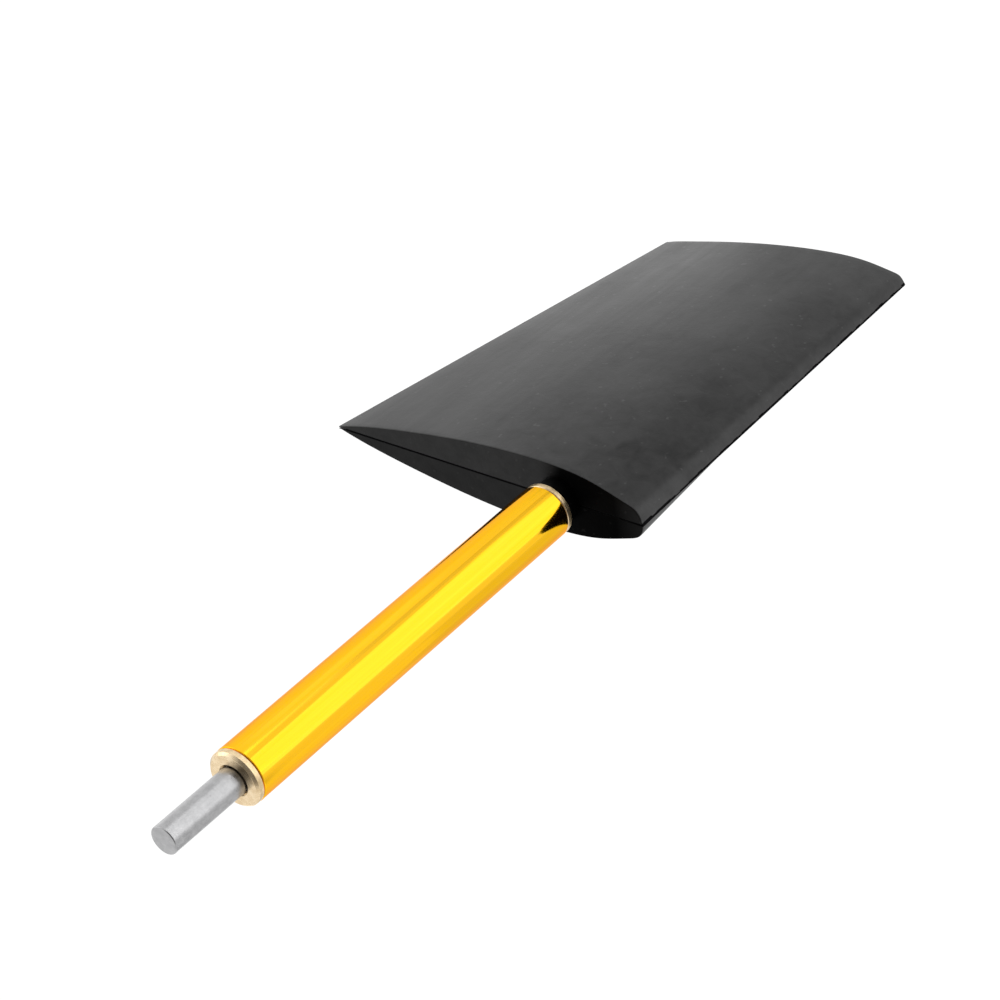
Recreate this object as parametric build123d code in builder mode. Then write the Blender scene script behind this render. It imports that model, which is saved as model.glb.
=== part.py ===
from build123d import *
import os

# Rudder for a model boat: a hollow two-part blade fixed on a steel stock that turns in a sleeve tube.
# Millimetres. Z runs up the stock, X towards the leading edge, Y across the blade to port.
# The origin is on the stock's axis, half way along the sleeve tube.

# Stock and sleeve
stock_dia = 4.0
sleeve_dia = 8.0
sleeve_wall = 0.8
sleeve_length = 63.0
sleeve_chamfer = 0.12
stock_top = 45.2          # free end that carries the tiller arm
stock_bottom = -88.0      # end buried in the blade
stock_chamfer = 0.25
relief_dia = 3.6          # relief groove where the stock leaves the upper bush
relief_width = 1.0
relief_rise = 0.1         # how far the groove shows above the bush

# Flanged bushes
flange_dia = 7.9          # under the sleeve's size, so a hull fitting slides over it
flange_thickness = 1.25
flange_chamfer = 0.35
bush_body_length = 9.0
bush_clearance = 0.03     # radial running clearance on the stock
bush_mouth = 0.25

# Blade outline: root and tip are cut at a slight slope to the stock
root_height = -35.1
root_slope = 0.0585
root_tail, root_nose = -41.4, 14.35
root_half_thickness = 5.45
tip_height = -105.6
tip_slope = -0.0433
tip_tail, tip_nose = -28.1, 13.85
tip_half_thickness = 3.46
trailing_edge = 0.15      # half thickness at the trailing edge

# Half section: share of chord from the tail, share of the half thickness
section = ((0.10, 0.295), (0.25, 0.58), (0.45, 0.865), (0.68, 1.0), (0.85, 0.85), (0.95, 0.54), (0.98, 0.40), (0.992, 0.26))
nose_slope = (0.35, -1.0)

# Inside the blade
skin = 1.6
end_wall = 2.4
cavity_tail_gap = 8.0
cavity_nose_gap = 2.4
spine_width = 9.0
rib_thickness = 1.6
rib_heights = (-52.0, -69.0, -86.0)
cross_pin_dia = 2.0
cross_pin_length = 16.0
cross_pin_heights = (-44.0, -78.0)
saddle_width = 19.0
saddle_height = 5.0
saddle_depth = 3.0
boss_dia = 6.8            # collar round the stock on the blade's root
boss_top = -33.05
peg_dia = 2.4
peg_length = 1.6
peg_clearance = 0.05
peg_column = 5.0
peg_places = ((-24.0, -45.0), (-18.0, -96.0), (8.5, -60.0), (8.5, -94.0))
seam_chamfer = 0.12       # one side of the fine groove where the halves meet


def sloped_plane(height, slope):
    """Plane across the stock that rises towards the leading edge by the given slope."""
    return Plane(origin=(0, 0, height), x_dir=(1, 0, slope), z_dir=(-slope, 0, 1))


def half_section(tail, nose, half_thickness, edge):
    """Half of the aerofoil, on the port side of the parting plane."""
    chord = nose - tail
    points = [(tail, edge)]
    points += [(tail + share * chord, height * half_thickness) for share, height in section]
    points += [(nose, 0)]
    with BuildSketch() as half:
        with BuildLine():
            Spline(*points, tangents=((1.0, 0.32), nose_slope), tangent_scalars=(1.0, 0.6))
            Polyline((nose, 0), (tail, 0), (tail, edge))
        make_face()
    return half.sketch


root_plane = sloped_plane(root_height, root_slope)
tip_plane = sloped_plane(tip_height, tip_slope)
cavity_top = sloped_plane(root_height - end_wall, root_slope)
cavity_bottom = sloped_plane(tip_height + end_wall, tip_slope)

# Outer shape of the port half, without its hollow
with BuildPart() as half_body:
    with BuildSketch(tip_plane):
        add(half_section(tip_tail, tip_nose, tip_half_thickness, trailing_edge))
    with BuildSketch(root_plane):
        add(half_section(root_tail, root_nose, root_half_thickness, trailing_edge))
    loft(ruled=True)
    on_parting = half_body.edges().filter_by(lambda edge: abs(edge.center().Y) < seam_chamfer / 2)
    chamfer(on_parting.filter_by(lambda edge: edge.center().X > root_tail / 2), seam_chamfer)

# Hollow of the port half
with BuildPart() as half_cavity:
    with BuildSketch(cavity_bottom):
        add(half_section(tip_tail + cavity_tail_gap, tip_nose - cavity_nose_gap, tip_half_thickness - skin, 0.02))
    with BuildSketch(cavity_top):
        add(half_section(root_tail + cavity_tail_gap, root_nose - cavity_nose_gap, root_half_thickness - skin, 0.02))
    loft(ruled=True)

# Spine, ribs, saddles and peg columns, kept inside the outer shape
with BuildPart() as half_frame:
    with Locations((0, root_half_thickness / 2, (root_height + tip_height) / 2)):
        Box(spine_width, root_half_thickness, root_height - tip_height)
    for height in rib_heights:
        with Locations(((root_tail + root_nose) / 2, root_half_thickness / 2, height)):
            Box(root_nose - root_tail, root_half_thickness, rib_thickness)
    for height in cross_pin_heights:
        with Locations((0, saddle_depth / 2, height)):
            Box(saddle_width, saddle_depth, saddle_height)
    for across, height in peg_places:
        with BuildSketch(Plane.XZ):
            with Locations((across, height)):
                Circle(peg_column / 2)
        extrude(amount=-root_half_thickness)
    add(half_body.part, mode=Mode.INTERSECT)

# One half before the pegs or sockets: shell, frame, collar and the channels for stock and pins
with BuildPart() as half_shell:
    add(half_body.part)
    add(half_cavity.part, mode=Mode.SUBTRACT)
    add(half_frame.part)
    with BuildSketch(Plane.XY.offset(boss_top)):
        Circle(boss_dia / 2)
        with Locations((0, -boss_dia / 2)):
            Rectangle(boss_dia, boss_dia, mode=Mode.SUBTRACT)
    extrude(amount=root_height - end_wall - boss_top)
    with BuildSketch(Plane.XY.offset(boss_top)):
        Circle(stock_dia / 2)
    extrude(amount=stock_bottom - boss_top, mode=Mode.SUBTRACT)
    for height in cross_pin_heights:
        with BuildSketch(Plane.YZ.offset(-cross_pin_length / 2)):
            with Locations((0, height)):
                Circle(cross_pin_dia / 2)
        extrude(amount=cross_pin_length, mode=Mode.SUBTRACT)

with BuildPart() as blade_port:
    add(half_shell.part)
    for across, height in peg_places:
        with BuildSketch(Plane.XZ):
            with Locations((across, height)):
                Circle(peg_dia / 2)
        extrude(amount=peg_length)
blade_port.part.label = "blade_port"

with BuildPart() as blade_starboard:
    add(half_shell.part)
    mirror(about=Plane.XZ, mode=Mode.REPLACE)
    for across, height in peg_places:
        with BuildSketch(Plane.XZ):
            with Locations((across, height)):
                Circle(peg_dia / 2 + peg_clearance)
        extrude(amount=peg_length + peg_clearance, mode=Mode.SUBTRACT)
blade_starboard.part.label = "blade_starboard"

with BuildPart() as rudder_stock:
    with BuildSketch(Plane.XY.offset(stock_bottom)):
        Circle(stock_dia / 2)
    extrude(amount=stock_top - stock_bottom)
    chamfer(rudder_stock.edges().filter_by(GeomType.CIRCLE), stock_chamfer)
    with BuildSketch(Plane.XY.offset(sleeve_length / 2 + flange_thickness + relief_rise)):
        Circle(stock_dia / 2)
        Circle(relief_dia / 2, mode=Mode.SUBTRACT)
    extrude(amount=-relief_width, mode=Mode.SUBTRACT)
    for height in cross_pin_heights:
        with BuildSketch(Plane.YZ.offset(-stock_dia)):
            with Locations((0, height)):
                Circle(cross_pin_dia / 2)
        extrude(amount=2 * stock_dia, mode=Mode.SUBTRACT)
rudder_stock.part.label = "rudder_stock"

cross_pins = {}
for name, height in zip(("cross_pin_upper", "cross_pin_lower"), cross_pin_heights):
    with BuildPart() as cross_pin:
        with BuildSketch(Plane.YZ.offset(-cross_pin_length / 2)):
            with Locations((0, height)):
                Circle(cross_pin_dia / 2)
        extrude(amount=cross_pin_length)
    cross_pin.part.label = name
    cross_pins[name] = cross_pin.part

with BuildPart() as sleeve_tube:
    with BuildSketch(Plane.XY.offset(-sleeve_length / 2)):
        Circle(sleeve_dia / 2)
        Circle(sleeve_dia / 2 - sleeve_wall, mode=Mode.SUBTRACT)
    extrude(amount=sleeve_length)
    rims = sleeve_tube.edges().filter_by(GeomType.CIRCLE).group_by(SortBy.RADIUS)[-1]
    chamfer(rims, sleeve_chamfer)
sleeve_tube.part.label = "sleeve_tube"


def bush_profile():
    """Half section of a flanged bush: radius across, height above the sleeve's end up."""
    bore = stock_dia / 2 + bush_clearance
    body = sleeve_dia / 2 - sleeve_wall
    rim = flange_dia / 2
    with BuildSketch() as profile:
        with BuildLine():
            Polyline(
                (bore, -bush_body_length + bush_mouth), (bore, flange_thickness - bush_mouth),
                (bore + bush_mouth, flange_thickness), (rim - flange_chamfer, flange_thickness),
                (rim, flange_thickness - flange_chamfer), (rim, sleeve_chamfer), (rim - sleeve_chamfer, 0),
                (body, 0), (body, -bush_body_length + bush_mouth),
                (body - bush_mouth, -bush_body_length), (bore + bush_mouth, -bush_body_length),
                close=True)
        make_face()
    return profile.sketch


with BuildPart() as upper_bush:
    with BuildSketch(Plane.XZ):
        with Locations((0, sleeve_length / 2)):
            add(bush_profile())
    revolve(axis=Axis.Z)
upper_bush.part.label = "upper_bush"

with BuildPart() as lower_bush:
    add(upper_bush.part)
    mirror(about=Plane.XY, mode=Mode.REPLACE)
lower_bush.part.label = "lower_bush"

os.makedirs("parts", exist_ok=True)
export_step(blade_port.part, "parts/blade_port.step")
export_step(blade_starboard.part, "parts/blade_starboard.step")
export_step(rudder_stock.part, "parts/rudder_stock.step")
export_step(sleeve_tube.part, "parts/sleeve_tube.step")
export_step(upper_bush.part, "parts/upper_bush.step")
export_step(lower_bush.part, "parts/lower_bush.step")
for name, pin in cross_pins.items():
    export_step(pin, f"parts/{name}.step")
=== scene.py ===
import math
import bpy
import numpy as np
from mathutils import Matrix, Vector


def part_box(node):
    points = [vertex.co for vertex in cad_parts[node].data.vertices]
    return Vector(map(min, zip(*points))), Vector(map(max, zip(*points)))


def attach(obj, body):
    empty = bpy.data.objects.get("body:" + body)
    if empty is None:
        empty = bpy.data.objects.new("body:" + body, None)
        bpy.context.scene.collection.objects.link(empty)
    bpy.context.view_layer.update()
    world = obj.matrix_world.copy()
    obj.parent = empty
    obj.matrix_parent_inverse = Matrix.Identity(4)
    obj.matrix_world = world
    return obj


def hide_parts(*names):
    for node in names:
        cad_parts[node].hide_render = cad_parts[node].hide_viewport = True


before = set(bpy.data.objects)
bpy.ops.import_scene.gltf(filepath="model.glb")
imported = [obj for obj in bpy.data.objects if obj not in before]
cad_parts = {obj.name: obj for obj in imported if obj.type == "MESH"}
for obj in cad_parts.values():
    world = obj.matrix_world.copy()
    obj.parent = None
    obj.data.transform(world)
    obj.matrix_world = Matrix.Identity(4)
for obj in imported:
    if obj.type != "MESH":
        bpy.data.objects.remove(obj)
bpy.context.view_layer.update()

MM = 0.001
rng = np.random.default_rng(7)

PORT, STARBOARD = 1, -1      # sign of Y on each side of the blade

# ---------------------------------------------------------------- sizes, in millimetres, same as the CAD
# section of one half: (share of the chord, share of the half thickness)
SECTION = ((0.10, 0.295), (0.25, 0.58), (0.45, 0.865), (0.68, 1.0), (0.85, 0.85))
# per side, at the root end and then at the tip end: the section's last points before the nose,
# and the direction in which the skin meets the parting plane
NOSE = {
    PORT: (
        (((0.95, 0.54), (0.98, 0.40), (0.992, 0.24)), (0.45, -1.0)),
        (((0.95, 0.55), (0.98, 0.39), (0.991, 0.20)), (0.65, -1.0)),
    ),
    STARBOARD: (
        (((0.95, 0.54), (0.98, 0.40), (0.992, 0.26)), (0.25, -1.0)),
        (((0.95, 0.46), (0.98, 0.22), (0.991, 0.10)), (1.3, -1.0)),
    ),
}
NOSE_BLEND = {PORT: 1.0, STARBOARD: 0.26}   # share of the span over which the nose takes its tip shape
TRAILING_EDGE = 0.15                        # half thickness at the tail
TAIL_DIRECTION = (1, 0.32)                  # direction in which the skin leaves the trailing edge
ROOT = dict(z=-35.1, slope=0.0585, tail=-41.4, nose=14.35, half=5.45)
TIP = dict(z=-105.6, slope=-0.0433, tail=-28.1, nose=13.85, half=3.46)
COLLAR_R, COLLAR_TOP = 3.4, -33.05
COLLAR_FOOT = ROOT["z"] - 0.6               # the collar starts a little way inside the root
STOCK_R = 2.0
SLEEVE_R, SLEEVE_BORE_R = 4.0, 3.2
SHARP_ANGLE = 38.0                          # degrees between faces that still shade as one surface


# ---------------------------------------------------------------- mesh helpers
def mesh_object(name, verts, faces, body, nodes, slot):
    """A smooth-shaded mesh in millimetres that rides on a body and stands for CAD nodes."""
    mesh = bpy.data.meshes.new(name)
    mesh.from_pydata([tuple(float(c) * MM for c in v) for v in verts], [], faces)
    mesh.validate()
    mesh.update()
    obj = bpy.data.objects.new(name, mesh)
    bpy.context.scene.collection.objects.link(obj)
    mesh.shade_smooth()
    mesh.set_sharp_from_angle(angle=math.radians(SHARP_ANGLE))
    weighted = obj.modifiers.new("flat faces stay flat", "WEIGHTED_NORMAL")
    weighted.keep_sharp = True
    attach(obj, body)
    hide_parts(*nodes)
    return obj


def rounded(corners, steps=5, most=0.45):
    """Polyline of (r, z, radius) corners, each rounded to its radius over at most this share of its sides."""
    out = []
    for i, (r, z, radius) in enumerate(corners):
        p = np.array((r, z), float)
        if radius <= 0:
            out.append(p)
            continue
        a = np.array(corners[i - 1][:2], float) - p
        b = np.array(corners[(i + 1) % len(corners)][:2], float) - p
        ua, ub = a / np.linalg.norm(a), b / np.linalg.norm(b)
        turn = math.acos(max(-1.0, min(1.0, float(ua @ ub))))
        cut = min(radius / math.tan(turn / 2), most * np.linalg.norm(a), most * np.linalg.norm(b))
        r_eff = cut * math.tan(turn / 2)
        mid = (ua + ub) / np.linalg.norm(ua + ub)
        centre = p + mid * r_eff / math.sin(turn / 2)
        start, end = p + ua * cut - centre, p + ub * cut - centre
        sweep = math.pi - turn
        for k in range(steps + 1):
            t = k / steps
            w = (math.sin((1 - t) * sweep) * start + math.sin(t * sweep) * end) / math.sin(sweep)
            out.append(centre + w)
    return out


def lathe(outline, segments, closed):
    """Vertices and faces of an outline of (r, z) turned about Z. An open one starts and ends on the axis."""
    verts, faces, rings = [], [], []
    for r, z in outline:
        if r < 1e-6:
            rings.append([len(verts)])
            verts.append((0, 0, z))
            continue
        rings.append(list(range(len(verts), len(verts) + segments)))
        for s in range(segments):
            a = 2 * math.pi * s / segments
            verts.append((r * math.cos(a), r * math.sin(a), z))
    pairs = list(zip(rings, rings[1:] + rings[:1])) if closed else list(zip(rings, rings[1:]))
    for low, high in pairs:
        for s in range(segments):
            n = (s + 1) % segments
            if len(low) == 1:
                faces.append((low[0], high[n], high[s]))
            elif len(high) == 1:
                faces.append((low[s], low[n], high[0]))
            else:
                faces.append((low[s], low[n], high[n], high[s]))
    return verts, faces


def spline(points, start, end, count):
    """Clamped cubic curve through the points, sampled densely near both ends."""
    p = np.array(points, float)
    t = np.concatenate([[0], np.cumsum(np.linalg.norm(np.diff(p, axis=0), axis=1))])
    h = np.diff(t)
    n = len(p)
    a, b = np.zeros((n, n)), np.zeros((n, 2))
    a[0, 0] = a[-1, -1] = 1
    b[0] = np.array(start) / np.linalg.norm(start)
    b[-1] = np.array(end) / np.linalg.norm(end)
    for i in range(1, n - 1):
        a[i, i - 1], a[i, i], a[i, i + 1] = h[i], 2 * (h[i - 1] + h[i]), h[i - 1]
        b[i] = 3 * (h[i - 1] * (p[i + 1] - p[i]) / h[i] + h[i] * (p[i] - p[i - 1]) / h[i - 1])
    m = np.linalg.solve(a, b)
    s = t[-1] * (1 - np.cos(np.linspace(0, math.pi, count))) / 2
    k = np.clip(np.searchsorted(t, s, side="right") - 1, 0, n - 2)
    u = ((s - t[k]) / h[k])[:, None]
    hk = h[k][:, None]
    return ((2 * u**3 - 3 * u**2 + 1) * p[k] + (u**3 - 2 * u**2 + u) * hk * m[k]
            + (-2 * u**3 + 3 * u**2) * p[k + 1] + (u**3 - u**2) * hk * m[k + 1])


# ---------------------------------------------------------------- blade halves
def half_outline(end, side, share, skin_inset, seam, seam_inset, count=170, flat_count=40):
    """Closed outline of one half's section, inset on the skin side and on the parting side."""
    chord = end["nose"] - end["tail"]
    blend = min(1.0, share / NOSE_BLEND[side])
    at_root, at_tip = NOSE[side]
    shoulder, slope = ((1 - blend) * np.array(a) + blend * np.array(b) for a, b in zip(at_root, at_tip))
    points = [(end["tail"], TRAILING_EDGE)]
    points += [(end["tail"] + s * chord, h * end["half"]) for s, h in SECTION + tuple(map(tuple, shoulder))]
    points += [(end["nose"], 0)]
    curve = spline(points, TAIL_DIRECTION, slope, count)
    step = np.gradient(curve, axis=0)
    normal = np.stack([-step[:, 1], step[:, 0]], 1) / np.linalg.norm(step, axis=1)[:, None]
    curve = curve - normal * skin_inset
    # the skin turns in towards the parting plane at the nose, which leaves half of a fine groove
    drop = np.clip(seam - curve[:, 1], 0, seam)
    bite = seam - np.sqrt(np.maximum(seam**2 - drop**2, 0))
    front = curve[:, 0] > 0
    curve[front, 0] -= bite[front]
    curve[:, 1] = np.maximum(curve[:, 1], seam_inset)
    flat_x = np.linspace(curve[-1, 0], curve[0, 0], flat_count)[1:-1]
    flat = np.stack([flat_x, np.full_like(flat_x, seam_inset)], 1)
    return np.vstack([curve, flat])


def place(end, outline, side):
    """Section points laid on the sloped end plane."""
    tilt = 1 / math.hypot(1, end["slope"])
    x = outline[:, 0] * tilt
    return np.stack([x, outline[:, 1] * side, end["z"] + x * end["slope"]], 1)


def blade_half(name, side):
    """One moulded half: skin, rounded root and tip edges, parting groove and half of the root collar."""
    edge_r, edge_steps = 0.2, 6         # rounding of the skin at the root and the tip
    seam_r = 0.17                       # rounding of the parting plane's edge on the end faces
    seam_depth, seam_taper, seam_wander = 0.14, 0.03, 0.06
    span_rows, margin = 64, 4
    span = ROOT["z"] - TIP["z"]
    stations = [(edge_r * (1 - math.cos(a)), edge_r * (1 - math.sin(a)), seam_r * (1 - math.sin(a)))
                for a in np.linspace(0, math.pi / 2, edge_steps)]
    depths = list(np.linspace(0, span, span_rows)[1:-1])
    rows = stations + [(d, 0, 0) for d in depths] + [(span - d, i, j) for d, i, j in reversed(stations)]
    noise = rng.normal(0, 1, len(rows) + 2 * margin)
    wander = np.convolve(noise, np.ones(5) / 5, "same")[margin:-margin]
    verts, loop = [], 0
    for (depth, inset, seam_inset), w in zip(rows, wander):
        t = depth / span
        seam = seam_depth - seam_taper * t + seam_wander * w
        a = place(ROOT, half_outline(ROOT, side, t, inset, seam, seam_inset), side)
        b = place(TIP, half_outline(TIP, side, t, inset, seam, seam_inset), side)
        ring = a * (1 - t) + b * t
        loop = len(ring)
        verts += ring.tolist()
    faces = []
    for k in range(len(rows) - 1):
        for j in range(loop):
            n = (j + 1) % loop
            quad = (k * loop + j, k * loop + n, (k + 1) * loop + n, (k + 1) * loop + j)
            faces.append(quad if side > 0 else quad[::-1])
    first, last = list(range(loop)), list(range((len(rows) - 1) * loop, len(rows) * loop))
    faces.append(tuple(reversed(first)) if side > 0 else tuple(first))
    faces.append(tuple(last) if side > 0 else tuple(reversed(last)))
    # half collar round the stock
    base, steps = len(verts), 48
    bore_r, joint_gap = STOCK_R + 0.02, 0.03
    ring = rounded([(bore_r, COLLAR_TOP, 0), (COLLAR_R, COLLAR_TOP, 0.2), (COLLAR_R, COLLAR_FOOT, 0),
                    (bore_r, COLLAR_FOOT, 0)])
    for s in range(steps + 1):
        angle = math.pi * s / steps
        for r, z in ring:
            verts.append((r * math.cos(angle), side * max(r * math.sin(angle), joint_gap), z))
    m = len(ring)
    for s in range(steps):
        for j in range(m):
            n = (j + 1) % m
            quad = (base + s * m + j, base + s * m + n, base + (s + 1) * m + n, base + (s + 1) * m + j)
            faces.append(quad if side > 0 else quad[::-1])
    start, stop = [base + j for j in range(m)], [base + steps * m + j for j in range(m)]
    faces.append(tuple(reversed(start)) if side > 0 else tuple(start))
    faces.append(tuple(stop) if side > 0 else tuple(reversed(stop)))
    return mesh_object(name + "_shell", verts, faces, "rudder", [name], "blade")


port = blade_half("blade_port", PORT)
starboard = blade_half("blade_starboard", STARBOARD)

# ---------------------------------------------------------------- stock, sleeve and bushes
stock_low, stock_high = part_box("rudder_stock")
top, bottom = stock_high.z / MM, stock_low.z / MM
tube_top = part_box("sleeve_tube")[1].z / MM
flange_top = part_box("upper_bush")[1].z / MM
groove_top, groove_bottom, groove_r = flange_top + 0.1, flange_top - 0.9, 1.8
stock_chamfer, stock_end_r = 0.25, 0.17
outline = rounded([
    (0, bottom, 0), (STOCK_R - stock_chamfer, bottom, 0.05), (STOCK_R, bottom + stock_chamfer, 0.05),
    (STOCK_R, groove_bottom, 0.02), (groove_r, groove_bottom, 0.02), (groove_r, groove_top, 0.02),
    (STOCK_R, groove_top, 0.04), (STOCK_R, top, stock_end_r), (0, top, 0)])
stock = mesh_object("rudder_stock_rod", *lathe(outline, 160, False), "rudder", ["rudder_stock"], "stock")

outline = rounded([(SLEEVE_R, -tube_top, 0.10), (SLEEVE_R, tube_top, 0.10),
                   (SLEEVE_BORE_R, tube_top, 0.05), (SLEEVE_BORE_R, -tube_top, 0.05)])
tube = mesh_object("sleeve_tube_drawn", *lathe(outline, 256, True), "sleeve", ["sleeve_tube"], "sleeve")


def bush(name, sign):
    """Flanged bush: outer chamfer, mouth chamfer, undercut rim and a body pressed in the sleeve."""
    bore_r, rim_r = 2.03, 3.95
    flange, body = 1.25, 9.0        # reach out of the sleeve's end and into it
    mouth, chamfer = 0.25, 0.35
    corners = [
        (bore_r, mouth - body, 0), (bore_r, flange - mouth, 0.03), (bore_r + mouth, flange, 0.04),
        (rim_r - chamfer, flange, 0.08), (rim_r, flange - chamfer, 0.10), (rim_r, 0.20, 0.04),
        (3.72, 0.0, 0.02), (SLEEVE_BORE_R, 0.0, 0), (SLEEVE_BORE_R, mouth - body, 0.03),
        (SLEEVE_BORE_R - mouth, -body, 0.03), (bore_r + mouth, -body, 0)]
    ring = [(r, sign * (tube_top + z)) for r, z in rounded(corners)]
    if sign > 0:
        ring = ring[::-1]
    return mesh_object(name + "_turned", *lathe(ring, 224, True), "sleeve", [name], "bush")


upper = bush("upper_bush", 1)
lower = bush("lower_bush", -1)


# ---------------------------------------------------------------- materials
class Finish:
    """Small helper that builds one node material."""

    def __init__(self, name):
        self.mat = bpy.data.materials.new(name)
        self.mat.use_nodes = True
        self.tree = self.mat.node_tree
        self.bsdf = self.tree.nodes["Principled BSDF"]
        self.coords = self.node("ShaderNodeTexCoord").outputs["Object"]

    def node(self, kind, **values):
        n = self.tree.nodes.new(kind)
        for key, value in values.items():
            setattr(n, key, value)
        return n

    def link(self, a, b):
        self.tree.links.new(a, b)

    def stretched(self, scale):
        m = self.node("ShaderNodeMapping")
        m.inputs["Scale"].default_value = scale
        self.link(self.coords, m.inputs["Vector"])
        return m.outputs["Vector"]

    def noise(self, vector, scale, detail=4.0, rough=0.55, distortion=0.0):
        n = self.node("ShaderNodeTexNoise")
        n.inputs["Scale"].default_value = scale
        n.inputs["Detail"].default_value = detail
        n.inputs["Roughness"].default_value = rough
        n.inputs["Distortion"].default_value = distortion
        self.link(vector, n.inputs["Vector"])
        return n.outputs["Fac"]

    def ramp(self, value, stops):
        r = self.node("ShaderNodeValToRGB")
        while len(r.color_ramp.elements) < len(stops):
            r.color_ramp.elements.new(0.5)
        for e, (pos, colour) in zip(r.color_ramp.elements, stops):
            e.position, e.color = pos, (*colour, 1)
        self.link(value, r.inputs["Fac"])
        return r.outputs["Color"]

    def level(self, value, low, high, lo=0.0, hi=1.0):
        m = self.node("ShaderNodeMapRange")
        for key, number in (("From Min", lo), ("From Max", hi), ("To Min", low), ("To Max", high)):
            m.inputs[key].default_value = number
        self.link(value, m.inputs["Value"])
        return m.outputs["Result"]

    def mix(self, factor, a, b):
        m = self.node("ShaderNodeMix", data_type="RGBA")
        for value, index in ((factor, 0), (a, 6), (b, 7)):
            if isinstance(value, tuple):
                m.inputs[index].default_value = (*value, 1)
            else:
                self.link(value, m.inputs[index])
        return m.outputs[2]

    def math(self, op, a, b=0.0):
        m = self.node("ShaderNodeMath", operation=op)
        for value, index in ((a, 0), (b, 1)):
            if isinstance(value, (float, int)):
                m.inputs[index].default_value = value
            else:
                self.link(value, m.inputs[index])
        return m.outputs[0]

    def bump(self, height, strength, distance, normal=None):
        b = self.node("ShaderNodeBump")
        b.inputs["Strength"].default_value = strength
        b.inputs["Distance"].default_value = distance
        self.link(height, b.inputs["Height"])
        if normal is not None:
            self.link(normal, b.inputs["Normal"])
        return b.outputs["Normal"]

    def set(self, **values):
        for key, value in values.items():
            socket = self.bsdf.inputs[key.replace("_", " ")]
            if hasattr(value, "is_linked"):
                self.link(value, socket)
            else:
                socket.default_value = value


def grey(value):
    """A neutral colour."""
    return (value, value, value)


def plastic(name, albedo, specular, roughness, dusty, painted_sleeve_shadow=False):
    """Moulded black plastic with grain, flow marks, dust and scratches. When asked, the sheen is cut towards
    +X past the stock and comes partly back at the nose: a painted shadow of the sleeve.
    """
    f = Finish(name)
    cloud = f.noise(f.coords, 70.0, 3.0)
    mottle = f.noise(f.coords, 330.0, 6.0, 0.68, 0.5)
    streak = f.noise(f.stretched((700.0, 700.0, 40.0)), 1.0, 4.0, 0.6)
    grain = f.noise(f.coords, 5200.0, 2.0, 0.6)
    dust = f.ramp(f.noise(f.coords, 1100.0, 1.0, 0.4), ((0.72, (0, 0, 0)), (0.76, (1, 1, 1))))
    scratch = f.noise(f.stretched((260.0, 260.0, 2600.0)), 1.0, 2.0, 0.5, 0.3)
    scratch = f.ramp(scratch, ((0.735, (0, 0, 0)), (0.76, (1, 1, 1))))
    marks = f.math("ADD", f.math("MULTIPLY", dust, 0.22 * dusty), f.math("MULTIPLY", scratch, 0.10 * dusty))
    base = f.mix(f.level(cloud, 0.0, 1.0, 0.3, 0.7), grey(albedo * 0.8), grey(albedo * 1.25))
    base = f.mix(marks, base, grey(0.12))
    rough = f.math("ADD", f.level(mottle, -0.045, 0.045, 0.3, 0.7),
                   f.level(streak, roughness - 0.02, roughness + 0.03, 0.3, 0.7))
    sheen = f.math("ADD", f.level(mottle, -0.27 * specular, 0.27 * specular, 0.3, 0.7),
                   f.level(cloud, specular * 0.9, specular * 1.1, 0.3, 0.7))
    if painted_sleeve_shadow:
        # painted shadow of the sleeve: the sheen falls to a tenth and less from just past the stock towards
        # +X, and comes back to about a third at the nose
        along = f.node("ShaderNodeSeparateXYZ")
        f.link(f.coords, along.inputs[0])
        span = f.level(along.outputs[0], 0.0, 1.0, -10.0 * MM, 14.5 * MM)
        sleeve_shadow_sheen = f.ramp(span, ((0.30, (1, 1, 1)), (0.44, grey(0.10)), (0.80, grey(0.04)), (0.97, grey(0.38))))
        sheen = f.math("MULTIPLY", sheen, sleeve_shadow_sheen)
    n = f.bump(grain, 0.25, 0.00004)
    n = f.bump(mottle, 0.12, 0.0003, n)
    f.set(Base_Color=base, Roughness=rough, Normal=n, Specular_IOR_Level=sheen, IOR=1.5)
    return f.mat


def groove():
    """Near-black groove material with grit and almost no sheen, where the halves meet."""
    f = Finish("parting_groove")
    grit = f.noise(f.coords, 2400.0, 4.0, 0.7)
    base = f.mix(f.level(grit, 0.0, 1.0, 0.35, 0.75), (0.0008, 0.0008, 0.0008), (0.006, 0.006, 0.007))
    f.set(Base_Color=base, Roughness=0.8, Specular_IOR_Level=0.03, Normal=f.bump(grit, 0.4, 0.00005))
    return f.mat


def gold():
    """Polished gold anodising with fine lines drawn along the tube."""
    f = Finish("gold_anodised")
    lines = f.noise(f.stretched((2600.0, 2600.0, 12.0)), 1.0, 3.0, 0.6)
    drawn = f.noise(f.stretched((1500.0, 1500.0, 9.0)), 1.0, 4.0, 0.65)
    base = f.mix(f.level(drawn, 0.0, 1.0, 0.32, 0.68), (0.94, 0.495, 0.004), (0.99, 0.575, 0.020))
    rough = f.level(lines, 0.07, 0.13, 0.3, 0.7)
    n = f.bump(lines, 0.05, 0.00003)
    f.set(Base_Color=base, Metallic=1.0, Roughness=rough, Normal=n, Specular_Tint=(0.9, 0.5, 0.12, 1),
          Coat_Weight=0.2, Coat_Roughness=0.04, Coat_IOR=1.45)
    return f.mat


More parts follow.
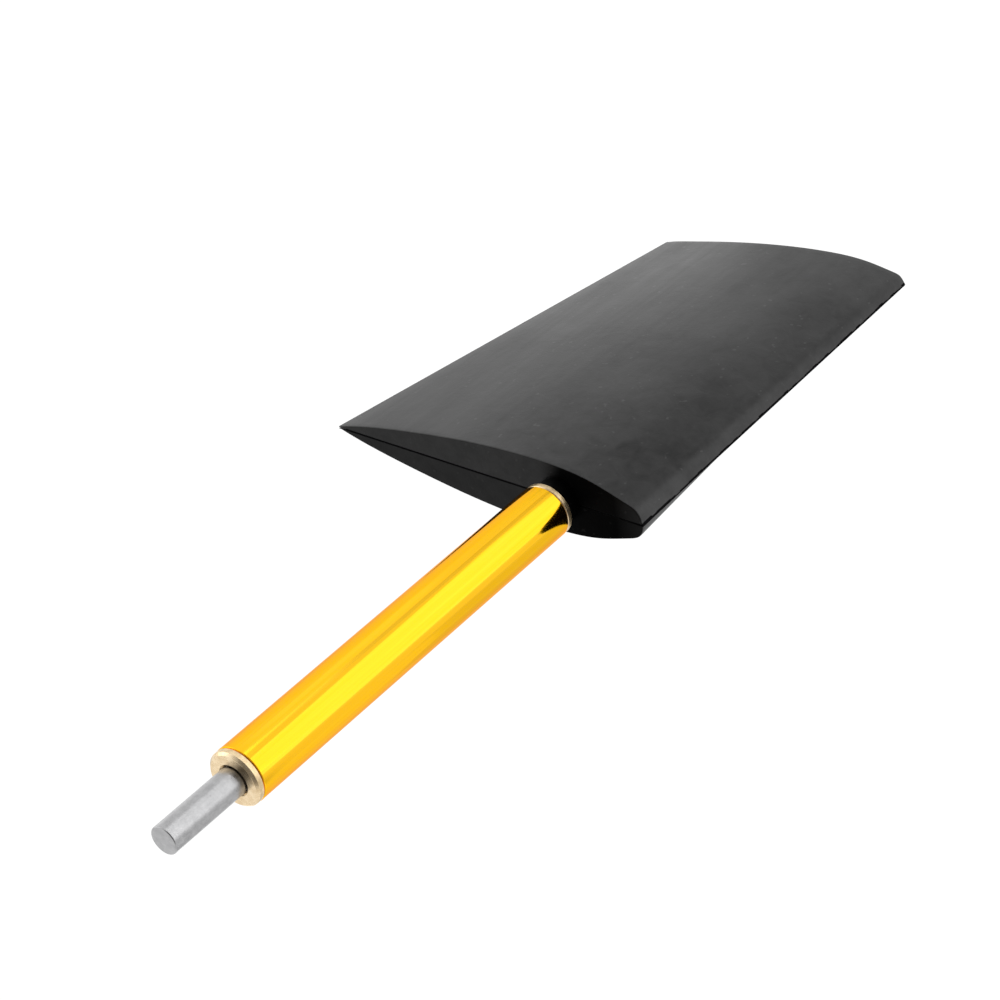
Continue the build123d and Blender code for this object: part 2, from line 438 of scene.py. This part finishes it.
def brass(name, dark, light, roughness):
    """Turned brass with tool marks round the axis and tarnish."""
    f = Finish(name)
    xyz = f.node("ShaderNodeSeparateXYZ")
    f.link(f.coords, xyz.inputs[0])
    radius = f.math("SQRT", f.math("ADD", f.math("MULTIPLY", xyz.outputs[0], xyz.outputs[0]),
                                   f.math("MULTIPLY", xyz.outputs[1], xyz.outputs[1])))
    rings = f.node("ShaderNodeCombineXYZ")
    f.link(f.math("MULTIPLY", radius, 9000.0), rings.inputs[0])
    f.link(f.math("MULTIPLY", xyz.outputs[2], 9000.0), rings.inputs[2])
    turned = f.noise(rings.outputs[0], 1.0, 2.0, 0.5)
    tarnish = f.noise(f.coords, 1000.0, 5.0, 0.7)
    base = f.mix(f.level(tarnish, 0.0, 1.0, 0.35, 0.65), dark, light)
    rough = f.math("ADD", f.level(tarnish, roughness - 0.06, roughness + 0.06, 0.3, 0.7),
                   f.level(turned, -0.04, 0.04, 0.3, 0.7))
    n = f.bump(turned, 0.3, 0.00003)
    n = f.bump(tarnish, 0.3, 0.00006, n)
    f.set(Base_Color=base, Metallic=1.0, Roughness=rough, Normal=n)
    return f.mat


def steel():
    """Ground steel, mottled, with marks round the rod."""
    f = Finish("ground_steel")
    mottle = f.noise(f.coords, 1100.0, 6.0, 0.7)
    lines = f.noise(f.stretched((300.0, 300.0, 5200.0)), 1.0, 3.0, 0.6)
    base = f.mix(f.level(mottle, 0.0, 1.0, 0.35, 0.65), (0.35, 0.35, 0.355), (0.45, 0.45, 0.455))
    rough = f.math("ADD", f.level(mottle, 0.28, 0.36, 0.3, 0.7), f.level(lines, -0.03, 0.03, 0.3, 0.7))
    n = f.bump(mottle, 0.35, 0.00005)
    n = f.bump(lines, 0.12, 0.00003, n)
    f.set(Base_Color=base, Metallic=1.0, Roughness=rough, Normal=n)
    return f.mat


skin_mat = plastic("black_moulded_skin", 0.016, 0.42, 0.40, 1.0)
# both end-face materials carry the painted shadow of the sleeve
face_mats = {PORT: plastic("port_end_face", 0.0015, 0.19, 0.5, 0.25, True),
             # the starboard end face gets less sheen than the port one: painted shade on that side
             STARBOARD: plastic("starboard_end_face", 0.0015, 0.115, 0.5, 0.25, True)}
groove_mat = groove()
gold_mat, steel_mat = gold(), steel()
brass_mat = brass("turned_brass", (0.68, 0.51, 0.30), (0.88, 0.71, 0.47), 0.26)
edge_mat = brass("brass_flange_edge", (0.58, 0.44, 0.25), (0.86, 0.68, 0.42), 0.34)


def cover(obj, *materials):
    """Give a mesh these materials, in this order."""
    obj.data.materials.clear()
    for m in materials:
        obj.data.materials.append(m)


# the dark groove material reaches wider, and unevenly, along the port side of the leading edge
nose_band_wander = np.convolve(rng.normal(0, 1, 240), np.ones(3) / 3, "same")
GROOVE_BAND, NOSE_BAND, NOSE_BAND_WANDER = 0.19, 0.30, 0.09
END_FACE, GROOVE, RIM = 1, 2, 1      # places in a half's and a bush's list of materials
for half, side in ((port, PORT), (starboard, STARBOARD)):
    cover(half, skin_mat, face_mats[side], groove_mat)
    for poly in half.data.polygons:
        x, y, z = (c / MM for c in poly.center)
        collar = math.hypot(x, y) < COLLAR_R + 0.1 and z > COLLAR_FOOT - 0.1
        end_face = abs(poly.normal.z) > 0.8
        if collar or end_face:
            poly.material_index = END_FACE
        dark = GROOVE_BAND
        if x > 10 and side == PORT and not end_face:
            dark = NOSE_BAND + NOSE_BAND_WANDER * nose_band_wander[int(-z * 2)]
        if abs(y) < dark and x > -40.0 and not collar:
            poly.material_index = GROOVE
cover(tube, gold_mat)
for bush_obj in (upper, lower):
    cover(bush_obj, brass_mat, edge_mat)
    for poly in bush_obj.data.polygons:
        x, y, z = (c / MM for c in poly.center)
        if math.hypot(x, y) > 3.9 and abs(poly.normal.z) < 0.3:
            poly.material_index = RIM
cover(stock, steel_mat)
for name in ("cross_pin_upper", "cross_pin_lower"):
    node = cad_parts[name]
    for i in range(len(node.material_slots)):
        node.material_slots[i].material = steel_mat


# ---------------------------------------------------------------- floor, light and camera
FLOOR_Z = TIP["z"] - 45.0
FLOOR_HALF = 3000.0


def stage_mesh(name, verts, material, seen):
    """One flat face of the stage, from corners in millimetres."""
    mesh = bpy.data.meshes.new(name)
    mesh.from_pydata([tuple(c * MM for c in v) for v in verts], [], [tuple(range(len(verts)))])
    obj = bpy.data.objects.new(name, mesh)
    bpy.context.scene.collection.objects.link(obj)
    mesh.materials.append(material)
    obj.visible_camera = seen
    return obj


def emitter(name, strength):
    """A white glow."""
    mat = bpy.data.materials.new(name)
    mat.use_nodes = True
    tree = mat.node_tree
    tree.nodes.clear()
    glow, out = tree.nodes.new("ShaderNodeEmission"), tree.nodes.new("ShaderNodeOutputMaterial")
    glow.inputs["Color"].default_value = (1, 1, 1, 1)
    glow.inputs["Strength"].default_value = strength
    tree.links.new(glow.outputs[0], out.inputs["Surface"])
    return mat


floor_mat = bpy.data.materials.new("pale_floor")
floor_mat.use_nodes = True
floor_shader = floor_mat.node_tree.nodes["Principled BSDF"]
floor_shader.inputs["Base Color"].default_value = (0.1, 0.1, 0.1, 1)
floor_shader.inputs["Roughness"].default_value = 0.9
floor_shader.inputs["Specular IOR Level"].default_value = 0.0
floor_shader.inputs["Emission Color"].default_value = (1, 1, 1, 1)
floor_shader.inputs["Emission Strength"].default_value = 0.98
corners = [(x * FLOOR_HALF, y * FLOOR_HALF, FLOOR_Z) for x, y in ((-1, -1), (1, -1), (1, 1), (-1, 1))]
stage_mesh("floor", corners, floor_mat, True)


def card(name, corners, strength):
    """A light card, seen in reflections and in the light it gives, not by the camera."""
    return stage_mesh(name, corners, emitter(name + "_glow", strength), False)


layers = []


def floor_card(name, corners, strength):
    """A card lying on the floor. Each one lies just over the ones before it."""
    layers.append(card(name, [(x, y, FLOOR_Z + 1.0 + 0.2 * len(layers)) for x, y in corners], strength))


floor_card("card_front", [(120, 6), (300, -42), (300, 180), (170, 300), (130, 267), (22, 165)], 1.64)
floor_card("card_rod", [(301, 26), (450, 38), (330, 330), (-38, 450), (-26, 301), (125, 301), (180, 301),
                        (301, 181)], 2.7)
floor_card("card_left", [(-34, 190), (-34, 300), (-170, 240), (-130, 150)], 1.2)
floor_card("card_strip", [(18, 240), (36, 299), (0, 299), (-30, 240)], 1.35)
floor_card("stripe", [(8, 140), (30, 236), (-28, 232), (-26, 138)], 0.88)
floor_card("stripe_near", [(30, 236), (78, 290), (47, 296), (-28, 232)], 1.06)
floor_card("card_tail", [(-50, 50), (-64, 80), (-100, 45), (-132, 50), (-132, -20), (-85, 0)], 1.18)
floor_card("card_tail_tip", [(-46, -2), (-46, 22), (-76, 28), (-76, -2)], 1.9)
floor_card("card_tail_mid", [(-76, 0), (-76, 26), (-112, 34), (-116, -8)], 1.7)
floor_card("flag_mid", [(-58, 74), (-80, 112), (-128, 60), (-92, 42)], 0.36)
floor_card("flag_nose", [(-60, 84), (-78, 113), (0, 137), (63, 118), (76, 60), (0, 76)], 0.06)
floor_card("flag_tip", [(-44, 50), (-59, 83), (0, 75), (70, 55), (60, 10), (0, 10)], 1.05)
floor_card("flag_right", [(118, -45), (185, -95), (60, -215), (0, -200), (0, -110), (60, -100)], 0.9)


def ring_card(name, start, stop, strength, near=335.0, far=1000.0):
    """A sector of a ring on the floor, far enough out that only the sleeve's other sides mirror it."""
    bearings = [math.radians(b) for b in np.linspace(start, stop, 8)]
    corners = [(near * math.cos(b), near * math.sin(b)) for b in bearings]
    corners += [(far * math.cos(b), far * math.sin(b)) for b in reversed(bearings)]
    floor_card(name, corners, strength)


ring_cards = ((158, 188, 1.6), (206, 217, 0.62), (232, 258, 1.65), (276, 288, 0.6), (306, 328, 1.55))
for number, (start, stop, strength) in enumerate(ring_cards):
    ring_card(f"ring_card_{number}", start, stop, strength)
floor_card("flag_rod", [(312, -62), (440, -80), (200, -420), (-100, -430), (-60, -312), (140, -290)], 0.66)


def direction(bearing, rise):
    """Unit vector at a bearing and a rise, both in radians."""
    return Vector((math.cos(bearing) * math.cos(rise), math.sin(bearing) * math.cos(rise), math.sin(rise)))


def upright_card(name, bearing, rise, distance, width, height, strength):
    """A softbox standing off the object at a bearing and elevation, square to it."""
    a, e = math.radians(bearing), math.radians(rise)
    facing = direction(a, e)
    across = Vector((-math.sin(a), math.cos(a), 0))
    up = facing.cross(across)
    mid = facing * distance
    corners = [mid + across * sx * width / 2 + up * sy * height / 2
               for sx, sy in ((-1, -1), (1, -1), (1, 1), (-1, 1))]
    return card(name, [tuple(c) for c in corners], strength)


upright_card("card_high", 156.0, 26.0, 420.0, 280.0, 170.0, 2.2)

# soft all-round light that darkens smoothly towards one side, and plain white behind the object
world = bpy.data.worlds.new("studio")
bpy.context.scene.world = world
world.use_nodes = True
tree = world.node_tree
tree.nodes.clear()
out = tree.nodes.new("ShaderNodeOutputWorld")
lit, seen = tree.nodes.new("ShaderNodeBackground"), tree.nodes.new("ShaderNodeBackground")
seen.inputs["Color"].default_value = (1, 1, 1, 1)
where, dot = tree.nodes.new("ShaderNodeTexCoord"), tree.nodes.new("ShaderNodeVectorMath")
dot.operation = "DOT_PRODUCT"
dot.inputs[1].default_value = direction(math.radians(35.0), math.radians(44.0))
tree.links.new(where.outputs["Generated"], dot.inputs[0])
shade = tree.nodes.new("ShaderNodeValToRGB")
shade.color_ramp.interpolation = "EASE"
for element, position, value in zip(shade.color_ramp.elements, (0.35, 0.85), (1.08, 0.2)):
    element.position, element.color = position, (*grey(value), 1)
tree.links.new(dot.outputs["Value"], shade.inputs["Fac"])
tree.links.new(shade.outputs["Color"], lit.inputs["Color"])
path, pick = tree.nodes.new("ShaderNodeLightPath"), tree.nodes.new("ShaderNodeMixShader")
tree.links.new(path.outputs["Is Camera Ray"], pick.inputs[0])
tree.links.new(lit.outputs[0], pick.inputs[1])
tree.links.new(seen.outputs[0], pick.inputs[2])
tree.links.new(pick.outputs[0], out.inputs["Surface"])

scene = bpy.context.scene
scene.view_settings.view_transform = "Standard"
scene.view_settings.look = "None"

camera_data = bpy.data.cameras.new("camera")
camera = bpy.data.objects.new("camera", camera_data)
scene.collection.objects.link(camera)
scene.camera = camera
FOCAL_RATIO = 2.63733       # focal length over the sensor's width
camera_data.sensor_width = 36.0
camera_data.lens = camera_data.sensor_width * FOCAL_RATIO
camera_data.clip_start, camera_data.clip_end = 0.01, 20.0
# the camera's axes and place in the object's frame
right = Vector((0.79675088, -0.1363365, -0.58872778))
down = Vector((0.223387, -0.83876536, 0.49655908))
ahead = Vector((-0.56150359, -0.52714801, -0.63783124))
turn = Matrix((right, -down, -ahead)).transposed().to_4x4()
camera.matrix_world = Matrix.Translation(Vector((194.8013, 189.88546, 198.28926)) * MM) @ turn
